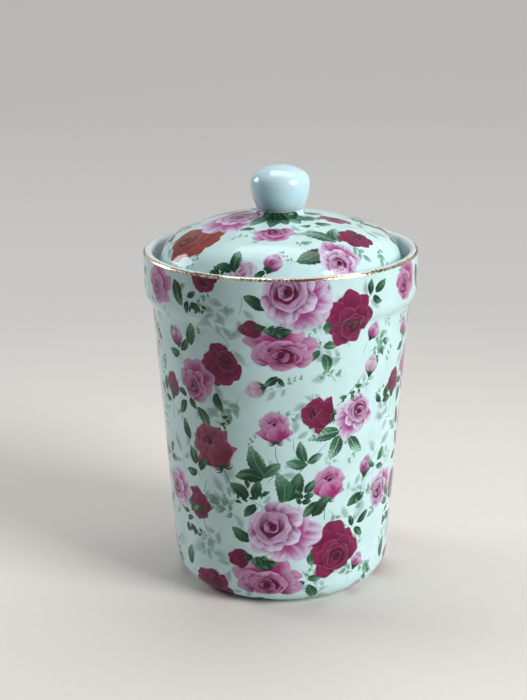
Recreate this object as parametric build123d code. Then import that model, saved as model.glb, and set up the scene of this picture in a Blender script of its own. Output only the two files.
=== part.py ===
from build123d import *

import math
import os

# Storage jar: a tapered porcelain jar with a set-out collar, closed by a domed lid with a knob.
# The lid drops inside the collar and rests on a ledge there; a ribbed seal on its skirt fills the neck.
# Millimetres. Z is the jar's axis, up, and the foot stands on Z = 0.

# Jar, outside
RIM_RADIUS = 51.0
JAR_HEIGHT = 127.8
COLLAR_DRAFT = 0.25  # the collar is this much slimmer at its lower edge than at the lip
COLLAR_DROP = 15.9  # lip to the collar's lower edge
STEP_OUT = 2.55  # how far the collar stands out from the body
STEP_DROP = 3.6
STEP_ROUND = 5.0
BASE_RADIUS = 40.8  # where the tapering side would meet the table
BASE_ROUND = 9.2
FOOT_WIDTH = 4.2  # of the ring that the jar stands on, inside the base's rounding
FOOT_RECESS = 1.4
FOOT_ROUND = 0.6

# Jar, inside
LIP_WIDTH = 3.4
LIP_OUTER_ROUND = 1.2
LIP_INNER_ROUND = 1.5
COLLAR_INNER_DRAFT = 0.4
LEDGE_DEPTH = 12.8  # lip to the ledge that carries the lid
LEDGE_ROUND = 1.2
NECK_WALL = 6.0
NECK_LENGTH = 13.0
NECK_ROUND = 0.6
NECK_BLEND = 30.0  # easy curve from the straight neck into the tapering inside
BODY_WALL = 4.0
FLOOR_THICKNESS = 5.0
FLOOR_ROUND = 7.0

# Lid
LID_GAP = 2.2  # between the lid's edge and the collar, at the ledge
DOME_SINK = 6.3  # the widest part of the dome lies this far below the lip
DOME_RISE = 19.4
DOME_FULLNESS = 0.67  # radius of the dome's shoulder, as a share of its rise
DOME_WALL = 3.6
SIDE_WALL = 4.4  # at the dome's widest part
LID_EDGE_ROUND = 1.0
SKIRT_GAP = 2.0  # between the skirt and the jar's neck
SKIRT_END = 2.5  # skirt left below the seal's groove
SKIRT_WALL = 3.8
SKIRT_ROUND = 1.2

# Seal on the skirt
GROOVE_TOP = 2.2  # below the lid's flange
GROOVE_DEPTH = 1.5
SEAL_HEIGHT = 6.3
SEAL_RIBS = 3
SEAL_FIT = 0.05  # clearance to the groove
SEAL_CLEARANCE = 0.3  # rib tips to the jar's neck
RIB_ROOT_SHARE = 0.8  # part of each rib's pitch that its root takes
RIB_TIP = 0.45

# Knob
KNOB_RADIUS = 11.0
KNOB_NECK_RADIUS = 8.5
KNOB_HEIGHT = 16.0  # above its seat
KNOB_CROWN = 6.6  # widest part to the top
KNOB_FULLNESS = 0.76  # radius of the knob's shoulder, as a share of its crown
SEAT_RISE = 1.3  # the knob's seat above the dome
SEAT_ROUND = 1.5
SPIGOT_RADIUS = 5.0
SPIGOT_LENGTH = 2.6
SPIGOT_FIT = 0.12  # clearance round the spigot
SPIGOT_END_GAP = 0.4

# Radii and heights that follow
collar_edge_radius = RIM_RADIUS - COLLAR_DRAFT
body_top_radius = collar_edge_radius - STEP_OUT
collar_edge_z = JAR_HEIGHT - COLLAR_DROP
body_top_z = collar_edge_z - STEP_DROP
lip_inner_radius = RIM_RADIUS - LIP_WIDTH
ledge_outer_radius = lip_inner_radius - COLLAR_INNER_DRAFT
ledge_z = JAR_HEIGHT - LEDGE_DEPTH
neck_radius = body_top_radius - NECK_WALL
neck_foot_z = ledge_z - NECK_LENGTH
floor_z = FOOT_RECESS + FLOOR_THICKNESS
side_slope = (body_top_radius - BASE_RADIUS) / body_top_z
base_turn = math.pi / 2 - math.atan(side_slope)
foot_radius = BASE_RADIUS - BASE_ROUND * math.tan(base_turn / 2) - FOOT_WIDTH
floor_radius = BASE_RADIUS + side_slope * floor_z - BODY_WALL

lid_radius = ledge_outer_radius - LID_GAP
equator_z = JAR_HEIGHT - DOME_SINK
dome_top_z = equator_z + DOME_RISE
hollow_top_z = dome_top_z - DOME_WALL
hollow_radius = lid_radius - SIDE_WALL
skirt_radius = neck_radius - SKIRT_GAP
skirt_inner_radius = skirt_radius - SKIRT_WALL
groove_radius = skirt_radius - GROOVE_DEPTH
groove_top_z = ledge_z - GROOVE_TOP
groove_foot_z = groove_top_z - SEAL_HEIGHT
skirt_foot_z = groove_foot_z - SKIRT_END

seat_z = dome_top_z + SEAT_RISE
knob_top_z = seat_z + KNOB_HEIGHT
knob_widest_z = knob_top_z - KNOB_CROWN
spigot_foot_z = seat_z - SPIGOT_LENGTH
socket_radius = SPIGOT_RADIUS + SPIGOT_FIT
socket_depth = SPIGOT_LENGTH + SPIGOT_END_GAP


def rounded_line(corners, close=False):
    """Draw straight runs through corners of (radius, height, rounding)."""
    points = [(radius, height) for radius, height, _ in corners]
    roundings = [rounding for _, _, rounding in corners]
    if not close:
        roundings = roundings[1:-1]
    FilletPolyline(points, radius=roundings, close=close)


def crown_line(radius, base_z, rise, fullness):
    """Draw two tangent arcs from the widest point up to the axis: a tight shoulder, then a broad crown."""
    shoulder = rise * fullness
    overhang = radius - shoulder
    sink = (overhang**2 - (rise - shoulder) ** 2) / (2 * (rise - shoulder))
    lean = math.degrees(math.atan2(overhang, sink))
    CenterArc((overhang, base_z), shoulder, 0, 90 - lean)
    CenterArc((0, base_z - sink), rise + sink, 90 - lean, lean)


def jar_body():
    """Jar: foot ring, tapering side, stepped collar with a rolled lip, and the ledge inside it."""
    corners = [
        (0, FOOT_RECESS, 0),
        (foot_radius, FOOT_RECESS, FOOT_ROUND),
        (foot_radius, 0, FOOT_ROUND),
        (BASE_RADIUS, 0, BASE_ROUND),
        (body_top_radius, body_top_z, STEP_ROUND),
        (collar_edge_radius, collar_edge_z, STEP_ROUND),
        (RIM_RADIUS, JAR_HEIGHT, LIP_OUTER_ROUND),
        (lip_inner_radius, JAR_HEIGHT, LIP_INNER_ROUND),
        (ledge_outer_radius, ledge_z, LEDGE_ROUND),
        (neck_radius, ledge_z, NECK_ROUND),
        (neck_radius, neck_foot_z, NECK_BLEND),
        (floor_radius, floor_z, FLOOR_ROUND),
        (0, floor_z, 0),
    ]
    with BuildPart() as jar:
        with BuildSketch(Plane.XZ):
            with BuildLine():
                rounded_line(corners, close=True)
            make_face()
        revolve(axis=Axis.Z)
    return jar.part


def lid_shell():
    """Lid: hollow dome, flange that rests on the ledge, grooved skirt, and the knob's socketed seat."""
    edge = [
        (lid_radius, equator_z, 0),
        (lid_radius, ledge_z, LID_EDGE_ROUND),
        (skirt_radius, ledge_z, 0),
        (skirt_radius, groove_top_z, 0),
        (groove_radius, groove_top_z, 0),
        (groove_radius, groove_foot_z, 0),
        (skirt_radius, groove_foot_z, 0),
        (skirt_radius, skirt_foot_z, SKIRT_ROUND),
        (skirt_inner_radius, skirt_foot_z, SKIRT_ROUND),
        (skirt_inner_radius, ledge_z, 0),
    ]
    ease_z = (ledge_z + equator_z) / 2  # the inside eases out from the skirt to the wider dome
    with BuildPart() as lid:
        with BuildSketch(Plane.XZ):
            with BuildLine():
                crown_line(lid_radius, equator_z, DOME_RISE, DOME_FULLNESS)
                rounded_line(edge)
                Bezier((skirt_inner_radius, ledge_z), (skirt_inner_radius, ease_z),
                       (hollow_radius, ease_z), (hollow_radius, equator_z))
                crown_line(hollow_radius, equator_z, DOME_RISE - DOME_WALL, DOME_FULLNESS)
                Line((0, hollow_top_z), (0, dome_top_z))
            make_face()
        revolve(axis=Axis.Z)
        with Locations((0, 0, seat_z)):
            Cylinder(KNOB_NECK_RADIUS, seat_z - hollow_top_z - DOME_WALL / 2,
                     align=(Align.CENTER, Align.CENTER, Align.MAX))
        seat_edges = lid.edges().filter_by(GeomType.CIRCLE)
        seat_edges = seat_edges.filter_by(lambda e: abs(e.radius - KNOB_NECK_RADIUS) < SPIGOT_FIT)
        fillet(seat_edges.sort_by(Axis.Z)[0], SEAT_ROUND)
        with Locations((0, 0, seat_z)):
            Cylinder(socket_radius, socket_depth,
                     align=(Align.CENTER, Align.CENTER, Align.MAX), mode=Mode.SUBTRACT)
    return lid.part


def seal_ring():
    """Seal: a flexible band in the skirt's groove, with tapered ribs that reach for the neck."""
    band_inner = groove_radius + SEAL_FIT
    band_foot_z = groove_foot_z + SEAL_FIT
    band_top_z = groove_top_z - SEAL_FIT
    tip_radius = neck_radius - SEAL_CLEARANCE
    pitch = (band_top_z - band_foot_z) / SEAL_RIBS
    outline = [(band_inner, band_top_z), (band_inner, band_foot_z), (skirt_radius, band_foot_z)]
    for rib in range(SEAL_RIBS):
        middle = band_foot_z + (rib + 0.5) * pitch
        root = pitch * RIB_ROOT_SHARE / 2
        outline += [
            (skirt_radius, middle - root),
            (tip_radius, middle - RIB_TIP / 2),
            (tip_radius, middle + RIB_TIP / 2),
            (skirt_radius, middle + root),
        ]
    outline.append((skirt_radius, band_top_z))
    with BuildPart() as seal:
        with BuildSketch(Plane.XZ):
            with BuildLine():
                Polyline(outline, close=True)
            make_face()
        revolve(axis=Axis.Z)
    return seal.part


def lid_knob():
    """Knob: a flattened crown on a flank that draws in to the neck, with a spigot for the lid's socket."""
    with BuildPart() as knob:
        with BuildSketch(Plane.XZ):
            with BuildLine():
                crown_line(KNOB_RADIUS, knob_widest_z, KNOB_CROWN, KNOB_FULLNESS)
                TangentArc((KNOB_RADIUS, knob_widest_z), (KNOB_NECK_RADIUS, seat_z), tangent=(0, -1))
                Polyline((KNOB_NECK_RADIUS, seat_z), (SPIGOT_RADIUS, seat_z), (SPIGOT_RADIUS, spigot_foot_z),
                         (0, spigot_foot_z), (0, knob_top_z))
            make_face()
        revolve(axis=Axis.Z)
    return knob.part


PIECES = {
    "jar_body": jar_body,
    "lid_shell": lid_shell,
    "seal_ring": seal_ring,
    "lid_knob": lid_knob,
}

os.makedirs("parts", exist_ok=True)
for name, make in PIECES.items():
    piece = make()
    piece.label = name
    export_step(piece, os.path.join("parts", name + ".step"))
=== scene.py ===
"""Storage jar of rose-printed porcelain: the looks of every piece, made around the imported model."""

import math
import random
from typing import NamedTuple

import bpy
import numpy as np
from mathutils import Matrix, Vector


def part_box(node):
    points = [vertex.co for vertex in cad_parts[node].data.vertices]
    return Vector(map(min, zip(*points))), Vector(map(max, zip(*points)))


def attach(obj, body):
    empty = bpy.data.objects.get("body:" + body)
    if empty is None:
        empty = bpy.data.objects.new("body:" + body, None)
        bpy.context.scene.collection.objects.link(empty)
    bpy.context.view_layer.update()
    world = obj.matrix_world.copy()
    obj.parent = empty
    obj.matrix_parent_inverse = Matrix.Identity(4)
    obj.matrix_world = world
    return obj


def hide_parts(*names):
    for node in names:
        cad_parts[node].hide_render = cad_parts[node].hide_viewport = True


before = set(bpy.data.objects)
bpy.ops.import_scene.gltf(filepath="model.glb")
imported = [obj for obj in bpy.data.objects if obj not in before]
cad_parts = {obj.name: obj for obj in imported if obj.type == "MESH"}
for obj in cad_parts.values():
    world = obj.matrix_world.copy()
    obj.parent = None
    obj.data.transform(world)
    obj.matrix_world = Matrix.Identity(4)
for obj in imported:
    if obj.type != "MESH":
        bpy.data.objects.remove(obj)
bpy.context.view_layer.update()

bl_info = {
    "name": "Rose Chintz Storage Jar",
    "version": (1, 0, 0),
    "blender": (4, 5, 0),
    "location": "View3D > Sidebar > Rose Jar",
    "description": "Makes a printed porcelain storage jar with its lid, knob and seal",
    "category": "Object",
}

MM = 0.001
JAR_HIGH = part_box("jar_body")[1]
LID_LOW, LID_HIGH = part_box("lid_shell")
KNOB_LOW, KNOB_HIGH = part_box("lid_knob")
SEAL_LOW, SEAL_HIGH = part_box("seal_ring")


# Properties


def length(label, text, default):
    """A size in metres that a user may change."""
    return bpy.props.FloatProperty(name=label, description=text, default=default, unit="LENGTH", precision=5)


def count(label, text, default):
    """A whole number that a user may change."""
    return bpy.props.IntProperty(name=label, description=text, default=default, min=1)


def colour(label, text, default):
    """A colour that a user may change."""
    return bpy.props.FloatVectorProperty(name=label, description=text, default=default, subtype="COLOR",
                                         size=3, min=0, max=1)


def ratio(label, text, default):
    """A share that a user may change."""
    return bpy.props.FloatProperty(name=label, description=text, default=default, subtype="FACTOR")


class JarSizes(bpy.types.PropertyGroup):
    """Sizes of the jar's wall, from the foot to the ledge inside the collar."""

    rim_radius: length("Rim radius", "Outside of the lip", JAR_HIGH.x)
    height: length("Height", "Foot to lip", JAR_HIGH.z)
    collar_draft: length("Collar draft", "How much slimmer the collar is at its lower edge", 0.25 * MM)
    collar_drop: length("Collar drop", "Lip to the collar's lower edge", 15.9 * MM)
    step_out: length("Step out", "How far the collar stands out from the body", 2.55 * MM)
    step_drop: length("Step drop", "Height of the slope under the collar", 3.6 * MM)
    step_round: length("Step rounding", "Rounding above and below the step", 5 * MM)
    base_radius: length("Base radius", "Where the side would meet the table", 40.8 * MM)
    base_round: length("Base rounding", "Rounding of the lower edge", 9.2 * MM)
    foot_radius: length("Foot radius", "Inner edge of the foot ring", 28 * MM)
    foot_recess: length("Foot recess", "Depth of the hollow under the foot", 1.4 * MM)
    foot_round: length("Foot rounding", "Rounding of the foot ring", 0.6 * MM)
    lip_width: length("Lip width", "Thickness of the collar at the lip", 3.4 * MM)
    lip_outer_round: length("Lip outer rounding", "Outer edge of the lip, with the gilt line", 1.2 * MM)
    gilt_width: length("Gilt width", "Width of the gilt line on the lip", 1.2 * MM)
    lip_inner_round: length("Lip inner rounding", "Inner edge of the lip", 1.5 * MM)
    collar_inner_draft: length("Collar inner draft", "How much the collar narrows to the ledge", 0.4 * MM)
    ledge_depth: length("Ledge depth", "Lip to the ledge that carries the lid", 12.8 * MM)
    ledge_round: length("Ledge rounding", "Corner between the collar and the ledge", 1.2 * MM)
    neck_radius: length("Neck radius", "Opening inside the ledge", 42.2 * MM)
    neck_length: length("Neck length", "Straight part of the neck", 13 * MM)
    neck_round: length("Neck rounding", "Inner edge of the ledge", 0.6 * MM)
    neck_blend: length("Neck blend", "Easy curve from the neck into the body", 30 * MM)
    floor_radius: length("Floor radius", "Inside at the floor", 37.24 * MM)
    floor_height: length("Floor height", "Table to the floor inside", 6.4 * MM)
    floor_round: length("Floor rounding", "Corner between the wall and the floor", 7 * MM)
    segments: count("Segments", "Facets round the jar", 336)


class LidSizes(bpy.types.PropertyGroup):
    """Sizes of the lid, from the knob's seat to the skirt."""

    radius: length("Radius", "The dome at its widest", LID_HIGH.x)
    equator: length("Equator height", "Table to the dome's widest part", 121.5 * MM)
    rise: length("Rise", "The dome above its widest part", 19.4 * MM)
    fullness: ratio("Fullness", "Shoulder radius as a share of the rise", 0.67)
    wall: length("Dome wall", "Thickness at the top of the dome", 3.6 * MM)
    side_wall: length("Side wall", "Thickness at the widest part", 4.4 * MM)
    flange: length("Flange height", "Table to the flange's underside", 115 * MM)
    edge_round: length("Edge rounding", "Lower edge of the flange", 1 * MM)
    skirt_radius: length("Skirt radius", "Outside of the skirt", 40.2 * MM)
    skirt_wall: length("Skirt wall", "Thickness of the skirt", 3.8 * MM)
    skirt_foot: length("Skirt foot", "Table to the skirt's lower edge", LID_LOW.z)
    skirt_round: length("Skirt rounding", "Lower edge of the skirt", 1.2 * MM)
    groove_radius: length("Groove radius", "Bottom of the seal's groove", 38.7 * MM)
    groove_top: length("Groove top", "Table to the groove's upper side", 112.8 * MM)
    groove_foot: length("Groove foot", "Table to the groove's lower side", 106.5 * MM)
    seat: length("Seat height", "Table to the knob's seat", LID_HIGH.z)
    seat_round: length("Seat rounding", "Root of the knob's seat", 1.5 * MM)
    socket_radius: length("Socket radius", "Hole for the knob's spigot", 5.12 * MM)
    socket_depth: length("Socket depth", "Depth of the hole for the spigot", 3 * MM)
    segments: count("Segments", "Facets round the lid", 288)


class KnobSizes(bpy.types.PropertyGroup):
    """Sizes of the knob and the spigot under it."""

    radius: length("Radius", "The knob at its widest", KNOB_HIGH.x)
    neck_radius: length("Neck radius", "Where the knob meets its seat", 8.5 * MM)
    top: length("Top", "Table to the knob's top", KNOB_HIGH.z)
    crown: length("Crown", "Widest part to the top", 6.6 * MM)
    fullness: ratio("Fullness", "Shoulder radius as a share of the crown", 0.76)
    spigot_radius: length("Spigot radius", "Peg in the lid's socket", 5 * MM)
    spigot_foot: length("Spigot foot", "Table to the peg's end", KNOB_LOW.z)
    segments: count("Segments", "Facets round the knob", 128)


class SealSizes(bpy.types.PropertyGroup):
    """Sizes of the ribbed seal in the skirt's groove."""

    inner_radius: length("Inner radius", "Inside of the band", 38.75 * MM)
    band_radius: length("Band radius", "Outside of the band, between the ribs", 40.2 * MM)
    tip_radius: length("Rib radius", "Tips of the ribs", SEAL_HIGH.x)
    foot: length("Foot", "Table to the band's lower edge", SEAL_LOW.z)
    top: length("Top", "Table to the band's upper edge", SEAL_HIGH.z)
    ribs: count("Ribs", "Ribs on the band", 3)
    root_share: ratio("Rib root", "Part of the pitch that a rib's root takes", 0.8)
    tip: length("Rib tip", "Height of a rib at its tip", 0.45 * MM)
    segments: count("Segments", "Facets round the seal", 160)


class PrintColours(bpy.types.PropertyGroup):
    """Colours of the glaze, the rose print and the gilding."""

    ground: colour("Ground", "Pale mint ground of the print", (0.565, 0.785, 0.79))
    white: colour("Plain glaze", "Inside, lip and underside", (0.68, 0.76, 0.77))
    knob: colour("Knob glaze", "Plain blue-white knob", (0.53, 0.75, 0.82))
    biscuit: colour("Biscuit", "Unglazed foot ring", (0.60, 0.56, 0.50))
    gilt: colour("Gilt", "Worn gilt line on the lip", (0.78, 0.67, 0.46))
    # Partly tarnish, partly painted dark reflection: a dark colour laid on stretches of the gilt line
    tarnish_and_dark_reflection: colour("Tarnish", "Darkened stretches of the gilt line", (0.2, 0.13, 0.07))
    seal: colour("Seal", "Milky silicone of the seal", (0.66, 0.67, 0.63))
    dust: colour("Dust", "Dusty patches of the seal", (0.5, 0.5, 0.46))
    leaf_light: colour("Leaf, light", "Lit leaves and veins", (0.16, 0.36, 0.23))
    leaf_middle: colour("Leaf, middle", "Leaves", (0.035, 0.15, 0.078))
    leaf_deep: colour("Leaf, deep", "Shaded leaves and sepals", (0.006, 0.042, 0.019))
    shadow_leaf: colour("Shadow sprigs", "Faint sprigs in the ground", (0.22, 0.34, 0.32))


# Each rose: its name, its label, how descriptions call it, and its three tones.
ROSE_COLOURS = (
    ("pink", "Pink", "pink roses", (0.61, 0.57, 0.74), (0.33, 0.045, 0.22), (0.12, 0.004, 0.05)),
    ("magenta", "Magenta", "magenta roses", (0.52, 0.3, 0.48), (0.31, 0.022, 0.16), (0.11, 0.003, 0.04)),
    ("rose", "Rose", "rose-red roses", (0.31, 0.08, 0.15), (0.2, 0.012, 0.058), (0.07, 0.002, 0.015)),
    ("crimson", "Crimson", "dark red roses", (0.22, 0.012, 0.08), (0.145, 0.003, 0.042),
     (0.042, 0.001, 0.011)),
    ("scarlet", "Scarlet", "scarlet rose", (0.28, 0.045, 0.035), (0.2, 0.018, 0.018), (0.075, 0.003, 0.007)),
    ("pale", "Blush", "faded roses", (0.56, 0.56, 0.64), (0.44, 0.3, 0.42), (0.28, 0.09, 0.2)),
)
TONES = {"light": "Petal edges", "middle": "Petals", "deep": "Folds"}


def add_rose_colours():
    """Give the print's colours three tones for each rose."""
    for rose, label, called, *values in ROSE_COLOURS:
        for tone, value in zip(TONES, values):
            text = f"{TONES[tone]} of the {called}"
            PrintColours.__annotations__[f"{rose}_{tone}"] = colour(f"{label}, {tone}", text, value)


add_rose_colours()


class RoseJarSettings(bpy.types.PropertyGroup):
    """All settings of the jar."""

    jar: bpy.props.PointerProperty(type=JarSizes, name="Jar", description="Sizes of the jar")
    lid: bpy.props.PointerProperty(type=LidSizes, name="Lid", description="Sizes of the lid")
    knob: bpy.props.PointerProperty(type=KnobSizes, name="Knob", description="Sizes of the knob")
    seal: bpy.props.PointerProperty(type=SealSizes, name="Seal", description="Sizes of the seal")
    print: bpy.props.PointerProperty(type=PrintColours, name="Print", description="Colours of the print")


# Node trees


class Wire:
    """A value in a node tree that can stand in sums, so that a formula reads as one."""

    def __init__(self, tree, socket):
        self.tree = tree
        self.socket = socket

    def math(self, operation, *others):
        node = self.tree.nodes.new("ShaderNodeMath")
        node.operation = operation
        for socket, value in zip(node.inputs, (self, *others)):
            feed(self.tree, socket, value)
        return Wire(self.tree, node.outputs[0])

    def __add__(self, other):
        return self.math("ADD", other)

    def __sub__(self, other):
        return self.math("SUBTRACT", other)

    def __rsub__(self, other):
        return (self * -1) + other

    def __mul__(self, other):
        return self.math("MULTIPLY", other)

    def __truediv__(self, other):
        return self.math("DIVIDE", other)

    def __pow__(self, other):
        return self.math("POWER", other)

    def __abs__(self):
        return self.math("ABSOLUTE")


def feed(tree, socket, value):
    """Link a wire to a socket, or set the socket's own value."""
    if isinstance(value, Wire):
        tree.links.new(value.socket, socket)
    else:
        socket.default_value = value


def add(tree, kind, inputs=None, **settings):
    """Add a node with its settings and feed its inputs, by name or by index."""
    node = tree.nodes.new(kind)
    for name, value in settings.items():
        setattr(node, name, value)
    for key, value in (inputs or {}).items():
        feed(tree, node.inputs[key], value)
    return node


def out(node, key=0):
    """One output of a node, as a wire."""
    return Wire(node.id_data, node.outputs[key])


def smooth(wire, low, high):
    """Ease from 0 at low to 1 at high."""
    node = add(wire.tree, "ShaderNodeMapRange", {"Value": wire, "From Min": low, "From Max": high},
               interpolation_type="SMOOTHSTEP", clamp=False)
    return out(node)


def blend(factor, first, second):
    """Mix two colours."""
    node = add(factor.tree, "ShaderNodeMix", {0: factor, 6: first, 7: second}, data_type="RGBA")
    return out(node, 2)


def shift(wire, other, share):
    """Move a colour a fixed part of the way to another."""
    node = add(wire.tree, "ShaderNodeMix", {0: share, 6: wire, 7: other}, data_type="RGBA")
    return out(node, 2)


def tint(wire, factor):
    """Scale a colour's brightness."""
    return out(add(wire.tree, "ShaderNodeHueSaturation", {"Value": factor, "Color": wire}))


def rgba(value):
    """A colour property as a node's four values."""
    return (*value, 1.0)


# Lathe


def arc_points(centre, radius, start, end, step):
    """Points of an arc in the profile's plane, from angle to angle."""
    steps = max(2, math.ceil(abs(end - start) * radius / step))
    angles = [start + (end - start) * i / steps for i in range(steps + 1)]
    return [Vector((centre[0] + radius * math.cos(a), centre[1] + radius * math.sin(a))) for a in angles]


def rounded_line(corners, step):
    """Straight runs through corners of (radius, height, rounding), with an arc at each rounded corner."""
    points = []
    spots = [Vector(corner[:2]) for corner in corners]
    for i, spot in enumerate(spots):
        rounding = corners[i][2]
        if rounding == 0 or i in (0, len(spots) - 1):
            points.append(spot)
            continue
        back = (spots[i - 1] - spot).normalized()
        ahead = (spots[i + 1] - spot).normalized()
        half = back.angle(ahead) / 2
        middle = spot + (back + ahead).normalized() * rounding / math.sin(half)
        first = spot + back * rounding / math.tan(half) - middle
        last = spot + ahead * rounding / math.tan(half) - middle
        start = math.atan2(first.y, first.x)
        turn = math.remainder(math.atan2(last.y, last.x) - start, math.tau)
        points += arc_points(middle, rounding, start, start + turn, step)
    return points


def crown_points(radius, base, rise, fullness, step):
    """Two tangent arcs from the widest point up to the axis: a tight shoulder, then a broad crown."""
    shoulder = rise * fullness
    overhang = radius - shoulder
    sink = (overhang**2 - (rise - shoulder) ** 2) / (2 * (rise - shoulder))
    lean = math.atan2(overhang, sink)
    points = arc_points((overhang, base), shoulder, 0, math.pi / 2 - lean, step)
    return points + arc_points((0, base - sink), rise + sink, math.pi / 2 - lean, math.pi / 2, step)[1:]


def refine(points, longest):
    """Divide the runs that are longer than a given length."""
    fine = [points[0]]
    for start, end in zip(points, points[1:]):
        steps = max(1, math.ceil((end - start).length / longest - 1e-6))
        fine += [start.lerp(end, i / steps) for i in range(1, steps + 1)]
    return fine


def lathe_tree():
    """Geometry Nodes tree that spins a profile of points about Z."""
    tree = bpy.data.node_groups.new("Lathe", "GeometryNodeTree")
    face = tree.interface
    face.new_socket("Profile", in_out="INPUT", socket_type="NodeSocketGeometry")
    for name, kind in (("Rings", "Int"), ("Segments", "Int"), ("Flip", "Bool"), ("Weld", "Float"),
                       ("Glaze", "Material")):
        face.new_socket(name, in_out="INPUT", socket_type="NodeSocket" + kind)
    face.new_socket("Piece", in_out="OUTPUT", socket_type="NodeSocketGeometry")
    given = tree.nodes.new("NodeGroupInput")
    profile, rings, segments, flip, weld, glaze = [Wire(tree, socket) for socket in given.outputs[:6]]

    grid = out(add(tree, "GeometryNodeMeshGrid", {"Vertices X": segments + 1, "Vertices Y": rings}), "Mesh")
    index = out(add(tree, "GeometryNodeInputIndex"))
    column = (index / rings).math("FLOOR")
    row = index - column * rings
    turn = column / segments

    def sampled(kind, field):
        wanted = {"Geometry": profile, "Index": row, "Value": field}
        return out(add(tree, "GeometryNodeSampleIndex", wanted, data_type=kind, domain="POINT"))

    def named(name):
        return out(add(tree, "GeometryNodeInputNamedAttribute", {"Name": name}, data_type="FLOAT"))

    spot = add(tree, "ShaderNodeSeparateXYZ",
               {0: sampled("FLOAT_VECTOR", out(add(tree, "GeometryNodeInputPosition")))})
    radius = out(spot, "X")
    angle = (turn - 0.5) * math.tau
    place = add(tree, "ShaderNodeCombineXYZ", {
        "X": radius * angle.math("SINE"),
        "Y": radius * angle.math("COSINE") * -1,
        "Z": out(spot, "Z"),
    })
    chart = add(tree, "ShaderNodeCombineXYZ",
                {"X": turn, "Y": sampled("FLOAT", named("chart")), "Z": sampled("FLOAT", named("along"))})
    caught = add(tree, "GeometryNodeCaptureAttribute", {"Geometry": grid})
    caught.capture_items.new("VECTOR", "Chart")
    feed(tree, caught.inputs["Chart"], out(chart))
    moved = {"Geometry": out(caught, "Geometry"), "Position": out(place)}
    spun = out(add(tree, "GeometryNodeSetPosition", moved))
    for name, kind in (("OFBake", "FLOAT2"), ("sheet", "FLOAT_VECTOR")):
        spun = out(add(tree, "GeometryNodeStoreNamedAttribute",
                       {"Geometry": spun, "Name": name, "Value": out(caught, "Chart")},
                       data_type=kind, domain="CORNER"))
    spun = out(add(tree, "GeometryNodeFlipFaces", {"Mesh": spun, "Selection": flip}))
    welded = out(add(tree, "GeometryNodeMergeByDistance", {"Geometry": spun, "Distance": weld}))
    eased = out(add(tree, "GeometryNodeSetShadeSmooth", {"Geometry": welded}))
    real = out(add(tree, "GeometryNodeRealizeInstances", {"Geometry": eased}))
    dressed = out(add(tree, "GeometryNodeSetMaterial", {"Geometry": real, "Material": glaze}))
    result = tree.nodes.new("NodeGroupOutput")
    feed(tree, result.inputs[0], dressed)
    return tree


WELD = 0.002 * MM
CREASE = math.radians(40)


def station_list(points):
    """How far along the profile each of its points lies."""
    return np.cumsum([0.0] + [(b - a).length for a, b in zip(points, points[1:])])


def spin(name, points, segments, glaze, chart):
    """Turn a profile into a piece. The chart says how far up the baked picture each profile point lies."""
    mesh = bpy.data.meshes.new(name)
    mesh.from_pydata([(p.x, 0, p.y) for p in points], [(i, i + 1) for i in range(len(points) - 1)], [])
    mesh.attributes.new("along", "FLOAT", "POINT").data.foreach_set("value", station_list(points))
    mesh.attributes.new("chart", "FLOAT", "POINT").data.foreach_set("value", chart)
    piece = bpy.data.objects.new(name, mesh)
    bpy.context.scene.collection.objects.link(piece)
    tree = bpy.data.node_groups.get("Lathe") or lathe_tree()
    modifier = piece.modifiers.new("Lathe", "NODES")
    modifier.node_group = tree
    runs_down = sum(a.x * b.y - b.x * a.y for a, b in zip(points, points[1:])) < 0
    given = {"Rings": len(points), "Segments": segments, "Flip": runs_down, "Weld": WELD, "Glaze": glaze}
    for socket in tree.interface.items_tree:
        if socket.name in given:
            modifier[socket.identifier] = given[socket.name]
    result = bpy.data.meshes.new_from_object(piece.evaluated_get(bpy.context.evaluated_depsgraph_get()))
    piece.modifiers.remove(modifier)
    piece.data = result
    result.name = name
    result.set_sharp_from_angle(angle=CREASE)
    return piece


def even_chart(points):
    """Spread a profile over the baked picture by its length."""
    stations = station_list(points)
    return stations / stations[-1]


def split_chart(points, first, last, share):
    """Give the stretch between two profile points a fixed share of the baked picture."""
    runs = np.diff(station_list(points), prepend=0.0)
    inside = np.zeros(len(points), bool)
    inside[first + 1:last + 1] = True
    runs[inside] *= share / runs[inside].sum()
    runs[~inside] *= (1 - share) / runs[~inside].sum()
    return np.cumsum(runs)


# Rose print

SLOTS = 18  # strokes that one face can carry
UNDERLAYS = 2  # strokes still kept under those that cover a face
NO_STROKE = (0.0, 9.0, 0.0)  # a place off every stroke
SLACK = 0.25 * MM  # strokes this near to a face count as crossing it
RAGGED = 0.4  # how far the brush's grain moves an edge, as a share of its softness
WOBBLE_ACROSS = 0.07
WOBBLE_UP = 0.035
WAVES = (5.0, 2.0)  # how fast strokes wobble, and how much they differ in it
WAVE_START = 11.0
STYLE_PLACE = (0.2, 0.6)  # the part of a style's step over which its strokes are spread
MOTIF_MARGIN = 1.3
BRUSH_GRAIN = (3.2, 1.0, 13.7)
STREAK_REACH = 1.6
BLOOM = (0.3, 1.0)  # where the root's colour gives way to the tip's
PEAK_SCALE = 4  # keeps an outline's scale within a colour's range
HALO = 1.1  # size of the shade about a stroke, as a share of the stroke
HALO_BAND = 0.3
HALO_SHADE = 0.3
PETAL_GLOW = (0.95, 0.93, 0.95, 1)
RIM_BAND = 0.1
RIM_UP = (0.35, 0.8)
RIM_GLOW = 0.35
FOLD_SHADE = (0, 0, 0, 1)
TEETH = 7
RIBS = 6
RIB_SLANT = 0.3
RIB_BAND = (0.04, 0.2)
RIB_SHADE = 0.4
MIDRIB_BAND = (0.02, 0.1)
MIDRIB_SHARE = 0.6
MIDRIB_GLOW = 0.1
TONE_SPREAD = 0.3  # how much strokes of one style differ in brightness
SIDE_SHADE = 0.1  # how much darker one side of a stroke is
VEIN_SHADE = 0.6  # and how much more so with veins
ROLES = ("outer", "middle", "cup", "front")
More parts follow.
